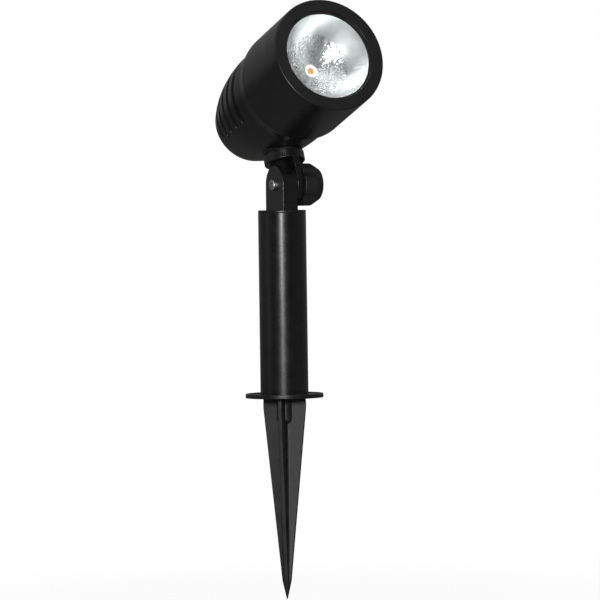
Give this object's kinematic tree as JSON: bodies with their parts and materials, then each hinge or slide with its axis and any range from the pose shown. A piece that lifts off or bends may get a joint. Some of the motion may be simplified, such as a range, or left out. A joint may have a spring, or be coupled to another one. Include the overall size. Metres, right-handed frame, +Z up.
{
  "type": "garden spike spotlight",
  "caption": "Round LED garden spotlight on a short pole with a cross-bladed ground spike, a tilting clamped arm and a swivel under the head.",
  "frame": {"origin": "centre of the ground flange's underside, at soil level", "axes": "+Z up the pole; at rest the lamp head faces -Y and is raised 20.4 degrees; the clamp knob is on the +X side"},
  "size_m": [0.078, 0.1452, 0.3979],
  "materials": {
    "spike_black": "satin",
    "black_paint": "die-cast and drawn, satin black powder coat",
    "knob_black": "matt",
    "steel": "satin",
    "brass": "turned",
    "nylon": "matt",
    "rubber_black": "matt",
    "clear_glass": "polished",
    "reflector_silver": "stippled, vapour-coated",
    "bare_aluminium": "machined",
    "board_white": "solder mask",
    "board_green": "solder mask",
    "phosphor": "silicone gel",
    "ceramic": "fired",
    "pad_grey": "soft",
    "can_blue": "sleeve",
    "coil_copper": "enamelled wire"
  },
  "bodies": {
    "base": {"ground_spike": "spike_black", "ground_flange": "black_paint", "spike_stud": "steel", "pole_plug": "bare_aluminium", "pole_tube": "black_paint", "pole_screws": "steel", "pivot_post": "black_paint", "pivot_bolt": "steel"},
    "arm": {"swivel_arm": "black_paint", "pan_screw": "steel"},
    "clamp": {"clamp_washer": "steel"},
    "knob": {"clamp_knob": "knob_black", "knob_insert": "brass"},
    "head": {"swivel_stem": "steel", "swivel_washer": "knob_black", "stem_nut": "steel", "front_sleeve": "black_paint", "lens_gasket": "rubber_black", "lens_glass": "clear_glass", "reflector": "reflector_silver", "led_holder": "nylon", "holder_screws": "steel", "led_emitter": "ceramic", "led_phosphor": "phosphor", "led_board": "board_white", "thermal_pad": "pad_grey", "heat_plate": "bare_aluminium", "plate_screws": "steel", "rear_housing": "black_paint", "housing_seal": "rubber_black", "driver_posts": "steel", "driver_board": "board_green", "driver_coil": "coil_copper", "driver_capacitor": "can_blue", "gland_body": "knob_black", "gland_seal": "rubber_black", "gland_nut": "knob_black"}
  },
  "joints": [
    {"name": "head_tilt", "type": "hinge", "parent": "base", "child": "arm", "pos_m": [0, 0, 0.1419], "axis": [-1, 0, 0], "range_deg": [-50, 45]},
    {"name": "head_pan", "type": "hinge", "parent": "arm", "child": "head", "pos_m": [0.0054, 0.00533, 0.15624], "axis": [0, 0.3486, 0.9373], "range_deg": [-170, 170]},
    {"name": "clamp_travel", "type": "slide", "parent": "base", "child": "clamp", "axis": [1, 0, 0], "range_m": [0, 0.001]},
    {"name": "knob_turn", "type": "hinge", "parent": "clamp", "child": "knob", "pos_m": [0.0112, 0, 0.1419], "axis": [1, 0, 0], "range_deg": [0, 360]}
  ],
  "couplings": [
    {"joint": "knob_turn", "follows": "clamp_travel", "rad_per_m": 6283.2}
  ]
}
